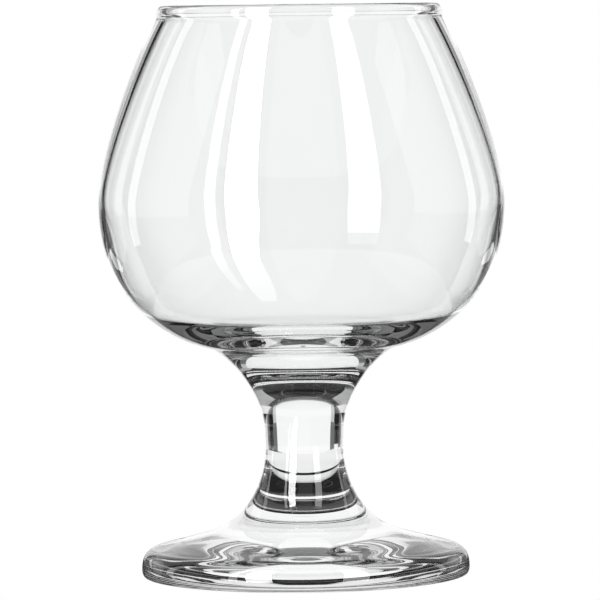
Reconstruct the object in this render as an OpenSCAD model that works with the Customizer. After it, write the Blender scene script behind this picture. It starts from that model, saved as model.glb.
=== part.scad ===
// Brandy snifter of clear glass, in millimetres, with +Z up.
// The origin is the centre of the ring that it stands on, at table height.
// Foot, stem and bowl are three pieces of solid glass, fused face to face.

/* [Foot] */
// Diameter of the foot at its edge
foot_d = 60.4; // [58:0.2:64]
// Height of the flat face that the stem is fused to
foot_h = 14.5; // [13.5:0.1:16]
// Height at which the edge is widest
edge_h = 1.5; // [1:0.1:2.5]
// How far the bottom corner draws in under the edge
edge_inset = 0.95; // [0.5:0.05:2]
// Diameter at which the rounded edge has become the sloping top
shoulder_d = 46; // [42:0.5:50]
// Height of the sloping top at that diameter
shoulder_h = 6.45; // [5.5:0.05:7]
// Slope of the top at that diameter, in degrees
shoulder_slope = 18; // [12:1:24]
// Diameter of the shallow hollow underneath
hollow_d = 46; // [30:1:52]
// Depth of that hollow at its centre
hollow_depth = 0.8; // [0.2:0.1:1.5]

/* [Stem] */
// Length of the stem between its two fused faces
stem_h = 27.7; // [26:0.1:34]
// Diameter where the stem meets the foot
stem_foot_d = 19.3; // [18:0.1:22]
// Angle at which the stem flares into the foot, in degrees from level
stem_foot_flare = 60; // [50:1:72]
// Diameter of the stem at its waist
waist_d = 14.4; // [12:0.1:16]
// Height of the waist above the foot's fused face
waist_rise = 11.7; // [9:0.1:14]
// Diameter where the stem meets the bowl
stem_bowl_d = 34.8; // [33:0.2:37]
// Angle at which the stem flares into the bowl, in degrees from level
stem_bowl_flare = 18; // [10:1:30]

/* [Bowl] */
// Height of the bowl, from the stem's fused face to the top of the rim
bowl_h = 62.8; // [60:0.1:70]
// Outside diameter of the bowl at its widest
bowl_d = 74.6; // [73.8:0.2:80]
// Height of the widest circle above the stem's fused face
belly_rise = 26.4; // [24:0.1:28]
// Angle at which the underside of the bowl leaves the stem, in degrees from level
bowl_start = 9; // [4:1:16]
// Thickness of glass between the stem's fused face and the inside of the bowl
floor_t = 1.6; // [1.2:0.1:2.4]
// Diameter of the heel, where the inside turns from the wall to the floor
heel_d = 53.6; // [52:0.2:54.4]
// Height of the heel above the stem's fused face
heel_rise = 5.6; // [5.3:0.1:7]
// Slope of the inside at the heel, in degrees from level
heel_slope = 28.5; // [26:0.5:34]
// Wall thickness at the widest circle
wall_t = 1; // [0.8:0.05:1.6]
// Wall thickness just under the rim, measured level
neck_t = 1.95; // [1.6:0.05:2.4]

/* [Rim] */
// Outside diameter of the rounded rim
rim_d = 52.2; // [50:0.1:54]
// Thickness of the rounded rim
rim_t = 1.95; // [1.7:0.05:2.4]
// Depth below the top at which the leaning wall turns upright into the rim
rim_depth = 2.5; // [2:0.1:3.5]
// Inward lean of the wall just under the rim, in degrees from upright
rim_lean = 28; // [22:1:32]

/* [Hidden] */
glass = [0.86, 0.90, 0.91];
clearness = 0.45;
round_fn = 128;
steps = 18;

// Each station of an outline is [radius, height, angle, hold before, hold after]. The angle
// is the direction in which the outline runs past it: 0 is outward, 90 is up, 180 is inward.
// A hold says how far the curve keeps to that angle, as a share of the curve's span
corner = [foot_d / 2 - edge_inset, 0, 0, 0, 0.45];
edge = [foot_d / 2, edge_h, 90, 0.45, 0.49];
shoulder = [shoulder_d / 2, shoulder_h, 180 - shoulder_slope, 0.46, 0.25];
stem_foot = [stem_foot_d / 2, foot_h, 180 - stem_foot_flare, 0.48, 0.54];
waist = [waist_d / 2, foot_h + waist_rise, 90, 0.1, 0.39];
stem_top_z = foot_h + stem_h;
stem_bowl = [stem_bowl_d / 2, stem_top_z, stem_bowl_flare, 0.2, 0];

// The outside of the bowl runs up from the stem to the top of the rim
rim_swell = 0.3;
rim_tuck = 4;
rim_round = rim_t / 2;
rim_r = rim_d / 2;
belly_z = stem_top_z + belly_rise;
total_h = stem_top_z + bowl_h;
neck_z = total_h - rim_depth;
bowl_base = [stem_bowl_d / 2, stem_top_z, bowl_start, 0, 0.16];
belly = [bowl_d / 2, belly_z, 90, 0.58, 0.21];
neck = [rim_r + rim_swell, neck_z, 90 + rim_lean, 0.3, 0.45];
rim_side = [rim_r, total_h - rim_round, 90 + rim_tuck, 0.35, 0.39];
rim_top = [rim_r - rim_round, total_h, 180, 0.39, 0.39];

// The inside of the bowl runs down from the rim to the middle of the floor
inner_neck_drop = 0.8;
inner_belly_lift = 0.5;
neck_out = neck[0] + inner_neck_drop * tan(rim_lean);
inner_rim = [rim_r - rim_t, total_h - rim_round, 270, 0.39, 0.4];
inner_neck = [neck_out - neck_t, neck_z - inner_neck_drop, 270 + rim_lean, 0.4, 0.3];
inner_belly = [bowl_d / 2 - wall_t, belly_z + inner_belly_lift, 270, 0.21, 0.28];
heel = [heel_d / 2, stem_top_z + heel_rise, 180 + heel_slope, 0.26, 0.365];
floor_mid = [0, stem_top_z + floor_t, 180, 0.38, 0];

// A smooth curve from station a to station b, without a's own point
function curve(a, b) =
    let (
        start = [a[0], a[1]],
        end = [b[0], b[1]],
        span = norm(end - start),
        pull_a = start + a[4] * span * [cos(a[2]), sin(a[2])],
        pull_b = end - b[3] * span * [cos(b[2]), sin(b[2])]
    )
    [for (i = [1:steps])
        let (t = i / steps, s = 1 - t)
        s^3 * start + 3 * s^2 * t * pull_a + 3 * s * t^2 * pull_b + t^3 * end];

// A station's own point
function point(station) = [station[0], station[1]];

// The hollow under the foot, from its middle out to the ring that it stands on
hollow = [for (i = [0:steps])
    let (share = i / steps)
    [share * hollow_d / 2, hollow_depth * (1 - share^2)]];

foot_outline = concat(
    hollow,
    [point(corner)],
    curve(corner, edge),
    curve(edge, shoulder),
    curve(shoulder, stem_foot),
    [[0, foot_h]]
);

stem_outline = concat(
    [[0, foot_h], point(stem_foot)],
    curve(stem_foot, waist),
    curve(waist, stem_bowl),
    [[0, stem_top_z]]
);

bowl_outline = concat(
    [[0, stem_top_z], point(bowl_base)],
    curve(bowl_base, belly),
    curve(belly, neck),
    curve(neck, rim_side),
    curve(rim_side, rim_top),
    curve(rim_top, inner_rim),
    curve(inner_rim, inner_neck),
    curve(inner_neck, inner_belly),
    curve(inner_belly, heel),
    curve(heel, floor_mid)
);

// Blown bowl with a thin wall, a thicker floor and a melted, rounded rim
module bowl() {
    color(glass, clearness)
        rotate_extrude($fn = round_fn)
            polygon(bowl_outline);
}

// Short solid stem, drawn in to a waist and flared at both ends
module stem() {
    color(glass, clearness)
        rotate_extrude($fn = round_fn)
            polygon(stem_outline);
}

// Pressed disc foot with a sloping top, a rounded edge and a hollow underneath
module foot() {
    color(glass, clearness)
        rotate_extrude($fn = round_fn)
            polygon(foot_outline);
}

bowl();
stem();
foot();
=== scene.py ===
import math

import bmesh
import bpy
from mathutils import Matrix, Vector


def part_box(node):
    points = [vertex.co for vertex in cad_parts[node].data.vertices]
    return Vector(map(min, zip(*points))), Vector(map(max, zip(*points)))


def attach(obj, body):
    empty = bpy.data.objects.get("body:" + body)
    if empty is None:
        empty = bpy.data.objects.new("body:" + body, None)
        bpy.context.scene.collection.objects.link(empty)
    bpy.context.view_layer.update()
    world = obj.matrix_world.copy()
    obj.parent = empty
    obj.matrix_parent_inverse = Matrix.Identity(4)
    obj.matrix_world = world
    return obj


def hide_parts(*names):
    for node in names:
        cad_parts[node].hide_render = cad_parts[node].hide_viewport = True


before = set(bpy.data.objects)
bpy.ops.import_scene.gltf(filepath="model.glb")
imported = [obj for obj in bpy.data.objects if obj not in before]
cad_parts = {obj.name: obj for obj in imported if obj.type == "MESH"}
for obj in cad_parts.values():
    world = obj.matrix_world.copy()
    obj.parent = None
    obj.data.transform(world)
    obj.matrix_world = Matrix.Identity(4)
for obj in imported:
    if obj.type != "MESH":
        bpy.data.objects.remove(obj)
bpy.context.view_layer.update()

MM = 0.001

# Sizes of the snifter, in millimetres. The outer ones come from the boxes of the parts in
# model.glb; the rest are the same driving dimensions as the construction has.
foot_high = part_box("foot")[1] / MM
stem_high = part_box("stem")[1] / MM
bowl_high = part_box("bowl")[1] / MM
foot_r = foot_high.x
foot_h = foot_high.z
stem_bowl_r = stem_high.x
stem_top_z = stem_high.z
bowl_r = bowl_high.x
total_h = bowl_high.z

# Foot
edge_h = 1.5
edge_inset = 0.95
shoulder_r = 23.0
shoulder_h = 6.45
shoulder_slope = 18
hollow_r = 23.0
hollow_depth = 0.8

# Stem
stem_foot_r = 9.65
stem_foot_flare = 60
waist_r = 7.2
waist_z = foot_h + 11.7
stem_bowl_flare = 18

# Bowl
belly_z = stem_top_z + 26.4
bowl_start = 9
floor_t = 1.6
heel_r = 26.8
heel_t = 5.6
heel_angle = 28.5
wall_t = 1.0
neck_t = 1.95
rim_r = 26.1
rim_t = 1.95
rim_depth = 2.5
rim_lean = 28
rim_swell = 0.3
rim_tuck = 4
inner_neck_drop = 0.8
inner_belly_lift = 0.5

# How finely the meshes are made: points on each curve and across each flat face, and
# steps round the axis. A point with a smaller radius than ON_AXIS lies on the axis.
CURVE_STEPS = 28
FACE_STEPS = 6
ROUND_STEPS = 256
ON_AXIS = 1e-6


def heading(degrees):
    return Vector((math.cos(math.radians(degrees)), math.sin(math.radians(degrees))))


def curve(a, b):
    """Points of the smooth curve from station a to station b, without a's own.

    A station is (radius, height, angle, hold before, hold after). The angle is the way the
    outline runs past it. A hold says how far a curve keeps to that angle, as a share of
    the distance between the two stations.
    """
    start, end = Vector(a[:2]), Vector(b[:2])
    span = (end - start).length
    pull_a = start + a[4] * span * heading(a[2])
    pull_b = end - b[3] * span * heading(b[2])
    points = []
    for i in range(1, CURVE_STEPS + 1):
        t = i / CURVE_STEPS
        s = 1 - t
        points.append(s**3 * start + 3 * s * s * t * pull_a + 3 * s * t * t * pull_b + t**3 * end)
    return points


def curves(*stations):
    """Points of the smooth curves through all stations, without the first one's own."""
    return [p for a, b in zip(stations, stations[1:]) for p in curve(a, b)]


def line(a, b):
    """Points of the straight line from a to b, without a."""
    a, b = Vector(a[:2]), Vector(b[:2])
    return [a.lerp(b, i / FACE_STEPS) for i in range(1, FACE_STEPS + 1)]


# The station that the foot and the stem share
stem_foot = (stem_foot_r, foot_h, 180 - stem_foot_flare, 0.48, 0.54)


def foot_outline():
    """Runs from the middle of the hollow, round the edge, to the middle of the top face.

    Returns the points, and the first and the last point number of each fused face.
    """
    corner = (foot_r - edge_inset, 0, 0, 0, 0.45)
    edge = (foot_r, edge_h, 90, 0.45, 0.49)
    shoulder = (shoulder_r, shoulder_h, 180 - shoulder_slope, 0.46, 0.25)
    shares = [i / CURVE_STEPS for i in range(CURVE_STEPS + 1)]
    points = [Vector((s * hollow_r, hollow_depth * (1 - s * s))) for s in shares]
    points += line((hollow_r, 0), corner)
    points += curves(corner, edge, shoulder, stem_foot)
    fused_from = len(points) - 1
    points += line(stem_foot, (0, foot_h))
    return points, [(fused_from, len(points) - 1)]


def stem_outline():
    """Runs from the middle of the lower fused face to the middle of the upper one.

    Returns the points, and the first and the last point number of each fused face.
    """
    waist = (waist_r, waist_z, 90, 0.1, 0.39)
    stem_bowl = (stem_bowl_r, stem_top_z, stem_bowl_flare, 0.2, 0)
    points = [Vector((0, foot_h))] + line((0, foot_h), stem_foot)
    lower_face = (0, len(points) - 1)
    points += curves(stem_foot, waist, stem_bowl)
    upper_from = len(points) - 1
    points += line(stem_bowl, (0, stem_top_z))
    return points, [lower_face, (upper_from, len(points) - 1)]


def bowl_outline():
    """Runs from the middle of the fused face, up the outside, over the rim, down the inside.

    Returns the points, and the first and the last point number of each fused face.
    """
    neck_z = total_h - rim_depth
    rim_round = rim_t / 2
    rim_z = total_h - rim_round
    base = (stem_bowl_r, stem_top_z, bowl_start, 0, 0.16)
    belly = (bowl_r, belly_z, 90, 0.58, 0.21)
    neck = (rim_r + rim_swell, neck_z, 90 + rim_lean, 0.3, 0.45)
    side = (rim_r, rim_z, 90 + rim_tuck, 0.35, 0.39)
    crown = (rim_r - rim_round, total_h, 180, 0.39, 0.39)
    inner_side = (rim_r - rim_t, rim_z, 270, 0.39, 0.4)
    neck_out = neck[0] + inner_neck_drop * math.tan(math.radians(rim_lean))
    inner_neck = (neck_out - neck_t, neck_z - inner_neck_drop, 270 + rim_lean, 0.4, 0.3)
    inner_belly = (bowl_r - wall_t, belly_z + inner_belly_lift, 270, 0.21, 0.28)
    heel = (heel_r, stem_top_z + heel_t, 180 + heel_angle, 0.26, 0.365)
    floor_mid = (0, stem_top_z + floor_t, 180, 0.38, 0)
    points = [Vector((0, stem_top_z))] + line((0, stem_top_z), base)
    lower_face = (0, len(points) - 1)
    points += curves(base, belly, neck, side, crown, inner_side, inner_neck, inner_belly,
                     heel, floor_mid)
    return points, [lower_face]


def place(name, data):
    """Puts an object with this mesh or camera into the scene."""
    made = bpy.data.objects.new(name, data)
    bpy.context.scene.collection.objects.link(made)
    return made


def turn(name, outline, fused, materials):
    """A closed solid turned round +Z from an outline that starts and ends on the axis.

    Faces between the point numbers in fused take the second material.
    """
    mesh = bpy.data.meshes.new(name)
    bm = bmesh.new()
    rings = []
    for p in outline:
        if p.x < ON_AXIS:
            rings.append([bm.verts.new((0, 0, p.y * MM))])
            continue
        ring = []
        for k in range(ROUND_STEPS):
            a = 2 * math.pi * k / ROUND_STEPS
            ring.append(bm.verts.new((p.x * math.cos(a) * MM, p.x * math.sin(a) * MM, p.y * MM)))
        rings.append(ring)
    for i in range(len(rings) - 1):
        lower, upper = rings[i], rings[i + 1]
        in_joint = any(a <= i < b for a, b in fused)
        for k in range(ROUND_STEPS):
            n = (k + 1) % ROUND_STEPS
            if len(lower) == 1:
                corners = (lower[0], upper[n], upper[k])
            elif len(upper) == 1:
                corners = (lower[k], lower[n], upper[0])
            else:
                corners = (lower[k], lower[n], upper[n], upper[k])
            face = bm.faces.new(corners)
            face.smooth = True
            face.material_index = 1 if in_joint else 0
    for edge in bm.edges:
        kinds = {face.material_index for face in edge.link_faces}
        edge.smooth = len(kinds) == 1
    bm.normal_update()
    bm.to_mesh(mesh)
    bm.free()
    piece = place(name, mesh)
    for material in materials:
        mesh.materials.append(material)
    return piece


WHITE = "#ffffff"


def linear(hex_code):
    """A linear RGBA colour from an sRGB hex code."""
    parts = [int(hex_code[i:i + 2], 16) / 255 for i in (1, 3, 5)]
    return [c / 12.92 if c <= 0.04045 else ((c + 0.055) / 1.055) ** 2.4 for c in parts] + [1]


def add(tree, kind, settings=None, links=None):
    """Adds a node, sets its values and links its inputs to other nodes' outputs.

    An input goes by its name, or by its number where the node has several of that name.
    """
    made = tree.nodes.new(kind)
    for key, value in (settings or {}).items():
        if isinstance(key, int) or key in made.inputs:
            made.inputs[key].default_value = value
        else:
            setattr(made, key, value)
    for key, output in (links or {}).items():
        tree.links.new(output, made.inputs[key])
    return made


def new_material(name):
    material = bpy.data.materials.new(name)
    material.use_nodes = True
    tree = material.node_tree
    tree.nodes.clear()
    return material, tree


def clear_glass(name, wave_mm, wave_height_mm):
    """Clear soda-lime glass, with a breath of tint that drifts over the width of a wave.

    The surface rises and falls with the same waves where they have a height.
    """
    material, tree = new_material(name)
    where = add(tree, "ShaderNodeTexCoord")
    waves = add(tree, "ShaderNodeTexNoise", {"Scale": 1 / (wave_mm * MM), "Detail": 1.0},
                {"Vector": where.outputs["Object"]})
    tint = add(tree, "ShaderNodeMix", {"data_type": "RGBA", 6: linear("#feffff"), 7: linear(WHITE)},
               {"Factor": waves.outputs["Fac"]})
    glass = add(tree, "ShaderNodeBsdfPrincipled",
                {"Roughness": 0.0, "IOR": 1.52, "Transmission Weight": 1.0},
                {"Base Color": tint.outputs[2]})
    if wave_height_mm:
        bump = add(tree, "ShaderNodeBump", {"Strength": 1.0, "Distance": wave_height_mm * MM},
                   {"Height": waves.outputs["Fac"]})
        tree.links.new(bump.outputs["Normal"], glass.inputs["Normal"])
    add(tree, "ShaderNodeOutputMaterial", None, {"Surface": glass.outputs["BSDF"]})
    return material


def fused_joint():
    """The weld inside the glass, where two pieces have run together: light passes unbent."""
    material, tree = new_material("fused_joint_in_glass")
    through = add(tree, "ShaderNodeBsdfTransparent", {"Color": linear(WHITE)})
    add(tree, "ShaderNodeOutputMaterial", None, {"Surface": through.outputs["BSDF"]})
    return material


# The bowl is blown and fire-polished: sharp reflections that bend only in long, slow waves,
# and no colour of its own, because its wall is thin.
blown = clear_glass("blown_soda_lime_glass", 30, 0.01)
# The stem is drawn out of hot glass: the view through it is drawn into clean lines along
# and across it, with a little more waver than in the bowl.
drawn = clear_glass("drawn_soda_lime_glass", 14, 0.006)
# The foot is pressed in a mould and polished in the flame: a bright skin with no waves that
# show, and a tint that varies a little from place to place.
pressed = clear_glass("pressed_soda_lime_glass", 9, 0)
# Where the pieces are fused, nothing shows: the light runs on as through one solid.
weld = fused_joint()

for node_name, outline, glass_kind, slot_name in (
    ("bowl", bowl_outline(), blown, "blown_glass"),
    ("stem", stem_outline(), drawn, "drawn_glass"),
    ("foot", foot_outline(), pressed, "pressed_glass"),
):
    piece = turn("glass_" + node_name, *outline, [glass_kind, weld])
    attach(piece, "root")
    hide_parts(node_name)


# Studio. Angles are in degrees: azimuth 0 is straight behind the glass, 90 is to its
# right, 180 is at the camera. Elevation is above the table. Distances are in millimetres.
PAPER_LIFT = 2.0
PANEL_AWAY = 120
SOFTBOX_AWAY = 800
BACK_SHIFT = 3
OFF_FOOT = 4
PATCH_ROUND, PATCH_OUT = 24, 4
SOFTBOX_UP, SOFTBOX_ACROSS = 60, 8


def card(name, grid, material, glossy=True, transmission=True):
    """A card of emitting paper or cloth through a grid of points, out of the camera's sight."""
    across = len(grid[0])
    faces = []
    for j in range(len(grid) - 1):
        for i in range(across - 1):
            k = j * across + i
            faces.append((k, k + 1, k + across + 1, k + across))
    mesh = bpy.data.meshes.new(name)
    mesh.from_pydata([p for row in grid for p in row], [], faces)
    mesh.materials.append(material)
    made = place(name, mesh)
    made.visible_camera = False
    made.visible_diffuse = False
    made.visible_shadow = False
    made.visible_glossy = glossy
    made.visible_transmission = transmission


def spread(low, high, steps):
    return [low + (high - low) * i / steps for i in range(steps + 1)]


def level(azimuth):
    """The level direction at an azimuth."""
    return Vector((math.sin(math.radians(azimuth)), math.cos(math.radians(azimuth)), 0))


def panel(name, azimuth, edges, heights, material, glossy=True):
    """A flat upright panel that faces the glass, between two edges left and right of it."""
    out, side = level(azimuth), level(azimuth + 90)
    grid = [[(out * PANEL_AWAY + side * x + Vector((0, 0, z))) * MM for x in edges]
            for z in heights]
    card(name, grid, material, glossy)


def wing_card(name, sign, inner, outer, heights, material, away=PANEL_AWAY):
    """A card beside the paper behind the glass, with its own two edges at each height."""
    grid = [[((BACK_SHIFT + sign * x) * MM, away * MM, z * MM) for x in (near, far)]
            for near, far, z in zip(inner, outer, heights)]
    card(name, grid, material)


def patch(name, azimuths, radii, material):
    """A sector of paper that lies on the table round the glass."""
    grid = [[(level(a) * r + Vector((0, 0, PAPER_LIFT))) * MM
             for a in spread(*azimuths, PATCH_ROUND)]
            for r in spread(*radii, PATCH_OUT)]
    card(name, grid, material, glossy=False)


def softbox(name, seen_at, azimuths, elevations, lean, material, widens=0):
    """A curved softbox between two azimuths and two elevations, down to the table's surface.

    The angles are measured from seen_at, the spot on the bowl that mirrors the softbox. Lean
    is how far its azimuth shifts for each degree above the level. Widens is how much lower
    its first azimuth is at its foot than at its top.
    """
    centre = Vector(seen_at)
    keep_off = foot_r + OFF_FOOT
    bottom, top = elevations
    grid = []
    for e in spread(bottom, top, SOFTBOX_UP):
        row = []
        first = azimuths[0] - widens * (top - e) / (top - bottom)
        for a in spread(first, azimuths[1], SOFTBOX_ACROSS):
            up = math.radians(e)
            way = level(a + lean * max(e, 0)) * math.cos(up) + Vector((0, 0, math.sin(up)))
            reach = SOFTBOX_AWAY
            if way.z < 0:
                reach = min(reach, (centre.z - PAPER_LIFT) / -way.z)
            p = centre + way * reach
            out = math.hypot(p.x, p.y)
            if out < keep_off:
                p.x *= keep_off / out
                p.y *= keep_off / out
            row.append(p * MM)
        grid.append(row)
    card(name, grid, material, transmission=False)


def light_card(name, strength):
    material, tree = new_material(name)
    glow = add(tree, "ShaderNodeEmission", {"Color": linear(WHITE), "Strength": strength})
    add(tree, "ShaderNodeOutputMaterial", None, {"Surface": glow.outputs["Emission"]})
    return material


# Light that runs straight through both walls of the bowl meets 4 surfaces of glass, through
# its far wall or the stem 2, and a reflection on the outside 1. Past 9, it was trapped in
# the glass for long.
SAME_COUNT = 0.25
TRAPPED_FROM = 9.0
TRAPPED_TO = 11.0
TRAPPED = 0.42


def has_met(tree, surfaces):
    """One for light that has met one of these numbers of glass surfaces, and else zero."""
    path = add(tree, "ShaderNodeLightPath")
    met = None
    for count in surfaces:
        match = add(tree, "ShaderNodeMath", {"operation": "COMPARE", 1: count, 2: SAME_COUNT},
                    {0: path.outputs["Ray Depth"]})
        if met:
            match = add(tree, "ShaderNodeMath", {"operation": "ADD"},
                        {0: met.outputs[0], 1: match.outputs[0]})
        met = match
    return met.outputs[0]


def limited_light(name, strength, surfaces, unlit, fades=None, grows=None):
    """Paper or cloth that lights the glass only where light meets so many of its surfaces.

    Else it shows the unlit colour, or lets the light pass where that is None. With fades,
    that colour falls off between two distances from the glass's middle plane, and it is
    dimmer for light that the glass has trapped long. Grows is (near, far, faint): the light
    rises from faint to its strength between two distances from the origin.
    """
    material, tree = new_material(name)
    glow = add(tree, "ShaderNodeEmission", {"Color": linear(WHITE), "Strength": strength})
    if unlit:
        dim = add(tree, "ShaderNodeEmission", {"Color": linear(unlit), "Strength": 1.0})
    else:
        dim = add(tree, "ShaderNodeBsdfTransparent", {"Color": linear(WHITE)})
    if fades or grows:
        where = add(tree, "ShaderNodeTexCoord")
    if grows:
        near, far, faint = grows
        off = add(tree, "ShaderNodeVectorMath", {"operation": "LENGTH"},
                  {0: where.outputs["Object"]})
        rise = add(tree, "ShaderNodeMapRange",
                   {"From Min": near * MM, "From Max": far * MM,
                    "To Min": faint, "To Max": strength},
                   {"Value": off.outputs["Value"]})
        tree.links.new(rise.outputs["Result"], glow.inputs["Strength"])
    if fades:
        near, far = fades
        split = add(tree, "ShaderNodeSeparateXYZ", None, {"Vector": where.outputs["Object"]})
        off = add(tree, "ShaderNodeMath", {"operation": "ABSOLUTE"}, {0: split.outputs["Y"]})
        fall = add(tree, "ShaderNodeMapRange",
                   {"From Min": near * MM, "From Max": far * MM,
                    "To Min": 1.0, "To Max": FADED},
                   {"Value": off.outputs[0]})
        path = add(tree, "ShaderNodeLightPath")
        trapped = add(tree, "ShaderNodeMapRange",
                      {"From Min": TRAPPED_FROM, "From Max": TRAPPED_TO,
                       "To Min": 1.0, "To Max": TRAPPED},
                      {"Value": path.outputs["Ray Depth"]})
        both = add(tree, "ShaderNodeMath", {"operation": "MULTIPLY"},
                   {0: fall.outputs["Result"], 1: trapped.outputs["Result"]})
        tree.links.new(both.outputs[0], dim.inputs["Strength"])
    mix = add(tree, "ShaderNodeMixShader", None,
              {"Fac": has_met(tree, surfaces), 1: dim.outputs[0], 2: glow.outputs[0]})
    add(tree, "ShaderNodeOutputMaterial", None, {"Surface": mix.outputs[0]})
    return material


FADE = (50, 105)
FADED = 0.15
ROOM = "#1c1c1c"
UNLIT = "#b8b8b8"
TABLE_UNLIT = "#6c6c6c"
SHADE = "#757575"
white = light_card("white_backdrop_paper", 1.0)
pale = light_card("white_table_paper", 0.9)
both_side = limited_light("white_side_paper", 1.0, (1, 2, 3, 4), UNLIT, FADE)
side_edge = limited_light("shaded_side_paper", 0.95, (4,), UNLIT, FADE)
bowl_side = limited_light("white_paper_for_bowl", 1.0, (3, 4), ROOM)
stem_side = limited_light("white_paper_for_stem", 1.0, (1, 2, 4), UNLIT, FADE)
table_side = limited_light("white_paper_on_table", 0.9, (1, 2, 3, 4, 5), TABLE_UNLIT)
# The papers near and under the foot show the dark room to most light: painted shade round the foot
# and a painted shadow under it.
near_table = limited_light("paper_near_foot_with_painted_shade", 0.9, (4,), ROOM)
under_foot = limited_light("paper_under_foot_with_painted_shadow", 0.9, (4, 5, 6, 7), ROOM)
table_through = limited_light("white_paper_on_far_table", 0.9, (2, 4), ROOM)
margin = limited_light("backdrop_paper_margin", 0.60, (1, 2, 3, 4), ROOM)
low_margin = limited_light("backdrop_paper_in_shade", 0.9, (4,), SHADE)
wing = limited_light("white_wing_paper", 0.62, (1, 3, 4), ROOM)
low_wing = limited_light("white_low_wing_paper", 0.65, (3, 4), ROOM)
low_glint = limited_light("thin_cloth_in_lamp_light", 1.5, (1,), None)

# White paper stands close behind the glass for each view, just wider than the view. The
# side papers show through the walls of the bowl as well. Beside the paper behind it stand
# dimmer margins and wings, and a thin lit cloth that hangs just in front of the low wings.
BACK_EDGES = (-67, 73)
SIDE_EDGES = (-71, 71)
SIDE_FAR_EDGE = 105
PANEL_HIGH = 117
SIDE_HIGH = 200
JOIN_HIGH = 45
MARGIN_JOIN = 50
SIDES = (("left", -1), ("right", 1))

panel("paper_behind", 0, BACK_EDGES, (0, PANEL_HIGH), white)
for side, sign in SIDES:
    wing_card("margin_" + side, sign, (70, 70), (89, 89), (MARGIN_JOIN, SIDE_HIGH), margin)
    wing_card("low_margin_" + side, sign, (70, 70), (95, 95), (0, MARGIN_JOIN), low_margin)
    wing_card("low_wing_" + side, sign, (122, 114, 109, 104, 97), (126, 122, 117, 112, 104),
              (12, 18, 24, 29, 38), low_wing)
    wing_card("low_glint_" + side, sign, (130, 119, 109, 99, 97, 97),
              (140, 139, 135, 125, 116, 108), (8, 14, 20, 26, 32, 38), low_glint,
              away=PANEL_AWAY - 1)
    wing_card("wing_" + side, sign, (168, 155, 142, 132, 122, 119, 120, 123), (250,) * 8,
              (0, 10, 20, 29, 36, 50, 62, 240), wing)
panel("paper_above", 0, BACK_EDGES, (PANEL_HIGH, SIDE_HIGH), bowl_side, glossy=False)
for side, sign in SIDES:
    turned = 90 * sign
    panel("paper_" + side, turned, SIDE_EDGES, (JOIN_HIGH, SIDE_HIGH), both_side, glossy=False)
    panel("paper_low_" + side, turned, SIDE_EDGES, (0, JOIN_HIGH), stem_side, glossy=False)
    panel("paper_edge_" + side, turned, (SIDE_EDGES[0] * sign, -SIDE_FAR_EDGE * sign),
          (0, SIDE_HIGH), side_edge, glossy=False)

# White table paper, where the glass shows the table
patch("table_behind", (-60, 60), (38, 118), pale)
# The ring just round the foot is white only to light that has met 4 surfaces, and else shows the
# dark room: painted shade round the foot.
patch("table_near", (-60, 60), (31, 38), near_table)
patch("table_round", (60, 300), (38, 118), table_side)
patch("table_left_behind", (-67, -23), (118, 280), table_through)
patch("table_right_front", (113, 157), (118, 430), table_through)

# Softboxes, strips and a grey curtain, seen in reflections only. A pool of its own light
# lies on the table below each softbox.
LEFT_GLINT = (-13, -34, 60)
RIGHT_GLINT = (12, -35, 64)
LEAN = 0.11
near_soft = limited_light("near_softbox_cloth", 20.0, (1, 2), ROOM)
soft = limited_light("softbox_cloth", 5.0, (1, 2), ROOM)
pool = limited_light("softbox_light_on_table", 5.0, (1, 2), ROOM, grows=(34, 150, 1.2))
edge_pool = limited_light("softbox_edge_light_on_table", 3.2, (1, 2), ROOM, grows=(34, 150, 0.4))
faint_pool = limited_light("faint_softbox_light_on_table", 1.1, (1, 2), ROOM)
strip = limited_light("strip_light_cloth", 2.2, (1, 2), ROOM)
curtain = limited_light("grey_curtain_cloth", 0.5, (1, 2), ROOM)
softbox("softbox_left", LEFT_GLINT, (203, 223), (-36, 60), LEAN, near_soft)
softbox("pool_left", LEFT_GLINT, (202, 223), (-77, -36), 0, pool, widens=16)
softbox("softbox_left_edge", LEFT_GLINT, (229, 236), (-22, 60), LEAN, soft)
softbox("pool_left_edge", LEFT_GLINT, (230, 238), (-60, -22), 0, edge_pool)
softbox("softbox_right", RIGHT_GLINT, (134.9, 154.7), (-15, 60), -LEAN, soft)
softbox("pool_right", RIGHT_GLINT, (134.9, 154.7), (-23, -15), 0, faint_pool)
softbox("curtain", (0, -35, 62), (157, 201), (-77, 60), 0, curtain)
softbox("strip_far_left", (-30, -20, 65), (287.6, 295.6), (-16, 40), 0, strip)
softbox("strip_far_right", (30, -20, 65), (63.4, 71.2), (-16, 40), 0, strip)

# The table top, in metres: a disc that lies a little below the ring that the glass stands on
TABLE_REACH = 4.0
TABLE_SIDES = 64
TABLE_DROP = 0.0002


def white_table():
    """Matt white laminate: white to the camera and straight through the bowl, else dim."""
    material, tree = new_material("white_laminate_table")
    path = add(tree, "ShaderNodeLightPath")
    paper = add(tree, "ShaderNodeEmission", {"Color": linear(WHITE), "Strength": 1.0})
    clear = add(tree, "ShaderNodeEmission", {"Color": linear(WHITE), "Strength": 0.9})
    dim = add(tree, "ShaderNodeEmission", {"Color": linear("#4a4a4a"), "Strength": 1.0})
    through = add(tree, "ShaderNodeMixShader", None,
                  {"Fac": has_met(tree, (4,)), 1: dim.outputs[0], 2: clear.outputs[0]})
    mix = add(tree, "ShaderNodeMixShader", None,
              {"Fac": path.outputs["Is Camera Ray"], 1: through.outputs[0],
               2: paper.outputs[0]})
    add(tree, "ShaderNodeOutputMaterial", None, {"Surface": mix.outputs[0]})
    return material


mesh = bpy.data.meshes.new("table_top")
turns = [2 * math.pi * k / TABLE_SIDES for k in range(TABLE_SIDES)]
ring = [(TABLE_REACH * math.cos(a), TABLE_REACH * math.sin(a), 0) for a in turns]
mesh.from_pydata(ring, [], [tuple(range(TABLE_SIDES))])
mesh.materials.append(white_table())
table_top = place("table_top", mesh)
table_top.location.z = -TABLE_DROP
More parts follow.
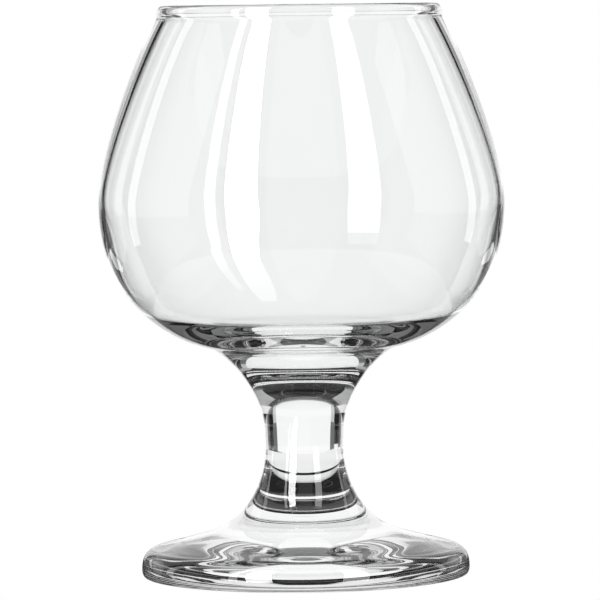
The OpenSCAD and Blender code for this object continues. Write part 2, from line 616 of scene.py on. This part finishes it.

# White paper that lies under the foot, just below the glass. It is white only to light that has met
# 4 to 7 surfaces of the glass, and shows the dark room to all other light: a painted shadow under
# the foot.
below = Vector((0, 0, -0.1))
disc = [[(level(a) * r + below) * MM for a in spread(0, 360, 32)] for r in (1, 29)]
card("paper_under_foot", disc, under_foot, glossy=False)

AIR_AT_SIDES = 0.12
AIR_IN_FRONT = 0.02


def studio_air():
    """White to the camera, grey at the sides in reflections, and else dark."""
    world = bpy.data.worlds.new("studio")
    world.use_nodes = True
    tree = world.node_tree
    tree.nodes.clear()
    path = add(tree, "ShaderNodeLightPath")
    where = add(tree, "ShaderNodeTexCoord")
    split = add(tree, "ShaderNodeSeparateXYZ", None, {"Vector": where.outputs["Generated"]})
    along = add(tree, "ShaderNodeMath", {"operation": "MULTIPLY"},
                {0: split.outputs["Y"], 1: split.outputs["Y"]})
    grey = add(tree, "ShaderNodeMapRange", {"To Min": AIR_AT_SIDES, "To Max": AIR_IN_FRONT},
               {"Value": along.outputs[0]})
    dim = add(tree, "ShaderNodeBackground", {"Color": linear(ROOM), "Strength": 1.0})
    sides = add(tree, "ShaderNodeBackground", {"Color": linear(WHITE)},
                {"Strength": grey.outputs["Result"]})
    air = add(tree, "ShaderNodeBackground", {"Color": linear(WHITE), "Strength": 1.0})
    seen = add(tree, "ShaderNodeMixShader", None,
               {"Fac": path.outputs["Is Transmission Ray"], 1: sides.outputs[0],
                2: dim.outputs[0]})
    mix = add(tree, "ShaderNodeMixShader", None,
              {"Fac": path.outputs["Is Camera Ray"], 1: seen.outputs[0], 2: air.outputs[0]})
    add(tree, "ShaderNodeOutputWorld", None, {"Surface": mix.outputs[0]})
    return world


scene = bpy.context.scene
scene.world = studio_air()

# Camera: a long lens at about the height of the rim, with a slight roll
SENSOR_MM = 36.0
FRAME_PX = 600
FOCAL_PX = 5058
CAMERA_AWAY = 0.9288
CAMERA_HEIGHT = 0.1066
PITCH_DOWN = 3.445
ROLL = 0.72
AXIS_OFFSET_PX = 2.6

eye = bpy.data.cameras.new("studio_camera")
eye.sensor_width = SENSOR_MM
eye.lens = FOCAL_PX / FRAME_PX * SENSOR_MM
eye.clip_start = 0.01
eye.clip_end = 20
camera = place("studio_camera", eye)
sideways = -AXIS_OFFSET_PX * CAMERA_AWAY / FOCAL_PX
pitch = Matrix.Rotation(math.radians(90 - PITCH_DOWN), 4, "X")
roll = Matrix.Rotation(math.radians(-ROLL), 4, "Z")
spot = Matrix.Translation((sideways, -CAMERA_AWAY, CAMERA_HEIGHT))
camera.matrix_world = spot @ (pitch @ roll)
scene.camera = camera

scene.view_settings.view_transform = "Standard"
scene.cycles.max_bounces = 48
scene.cycles.transmission_bounces = 32
scene.cycles.glossy_bounces = 32
scene.cycles.transparent_max_bounces = 16
